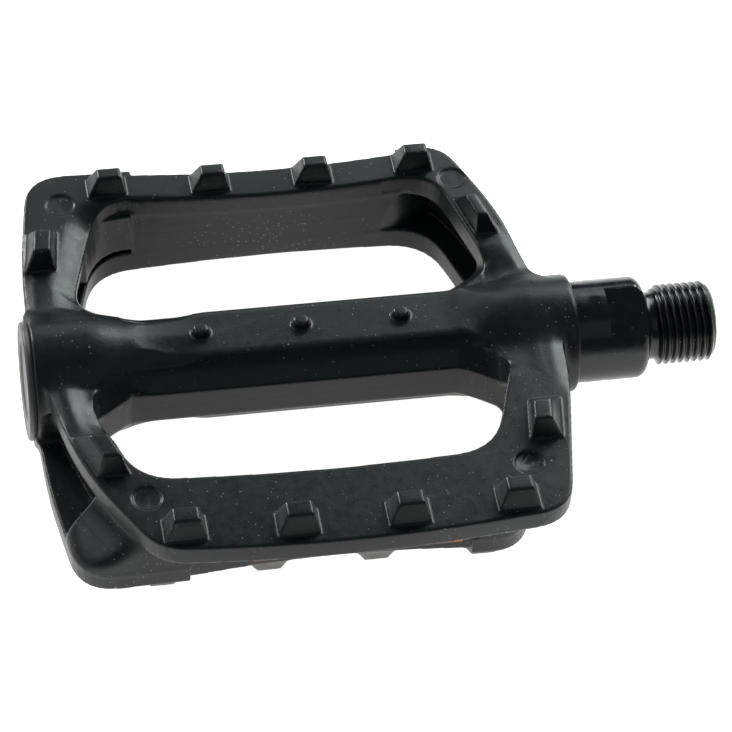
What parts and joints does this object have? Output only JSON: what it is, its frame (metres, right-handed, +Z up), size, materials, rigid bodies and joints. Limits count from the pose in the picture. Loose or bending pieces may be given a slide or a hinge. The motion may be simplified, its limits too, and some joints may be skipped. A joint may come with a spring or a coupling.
{
  "type": "flat pedal",
  "caption": "Flat bicycle pedal: studded moulded platform with open windows and edge reflectors, turning on ball bearings around a threaded steel spindle.",
  "frame": {"origin": "centre of the spindle's threaded end face, on the spindle axis", "axes": "+Y along the spindle out of the threaded end, towards the crank; +X forward; +Z up through the upper tread"},
  "size_m": [0.097, 0.1216, 0.024],
  "materials": {
    "black_nylon": "satin, glass-filled nylon",
    "black_steel": "gloss black oxide",
    "bright_steel": "ground and hardened",
    "cap_plastic": "satin",
    "amber_lens": "moulded prismatic reflector",
    "rubber_seal": "matte"
  },
  "bodies": {
    "spindle": {"spindle": "black_steel", "outer_cone": "bright_steel", "tab_washer": "bright_steel", "lock_nut": "bright_steel"},
    "platform": {"platform_body": "black_nylon", "front_reflector_lens": "amber_lens", "front_reflector_backing": "cap_plastic", "rear_reflector_lens": "amber_lens", "rear_reflector_backing": "cap_plastic", "crank_side_cup": "bright_steel", "outer_cup": "bright_steel", "crank_side_seal": "rubber_seal", "dust_cap": "cap_plastic"},
    "crank_side_balls": {"crank_side_ball_01": "bright_steel", "crank_side_ball_02": "bright_steel", "crank_side_ball_03": "bright_steel", "crank_side_ball_04": "bright_steel", "crank_side_ball_05": "bright_steel", "crank_side_ball_06": "bright_steel", "crank_side_ball_07": "bright_steel", "crank_side_ball_08": "bright_steel", "crank_side_ball_09": "bright_steel", "crank_side_ball_10": "bright_steel", "crank_side_ball_11": "bright_steel", "crank_side_ball_12": "bright_steel"},
    "outer_balls": {"outer_ball_01": "bright_steel", "outer_ball_02": "bright_steel", "outer_ball_03": "bright_steel", "outer_ball_04": "bright_steel", "outer_ball_05": "bright_steel", "outer_ball_06": "bright_steel", "outer_ball_07": "bright_steel", "outer_ball_08": "bright_steel", "outer_ball_09": "bright_steel", "outer_ball_10": "bright_steel", "outer_ball_11": "bright_steel", "outer_ball_12": "bright_steel"}
  },
  "joints": [
    {"name": "platform_spin", "type": "hinge", "parent": "spindle", "child": "platform", "pos_m": [0, -0.068, 0], "axis": [0, 1, 0], "continuous": true},
    {"name": "crank_side_balls_orbit", "type": "hinge", "parent": "spindle", "child": "crank_side_balls", "pos_m": [0, -0.0302, 0], "axis": [0, 1, 0], "continuous": true},
    {"name": "outer_balls_orbit", "type": "hinge", "parent": "spindle", "child": "outer_balls", "pos_m": [0, -0.1124, 0], "axis": [0, 1, 0], "continuous": true}
  ],
  "couplings": [
    {"joint": "crank_side_balls_orbit", "follows": "platform_spin", "ratio": 0.623},
    {"joint": "outer_balls_orbit", "follows": "platform_spin", "ratio": 0.623}
  ]
}
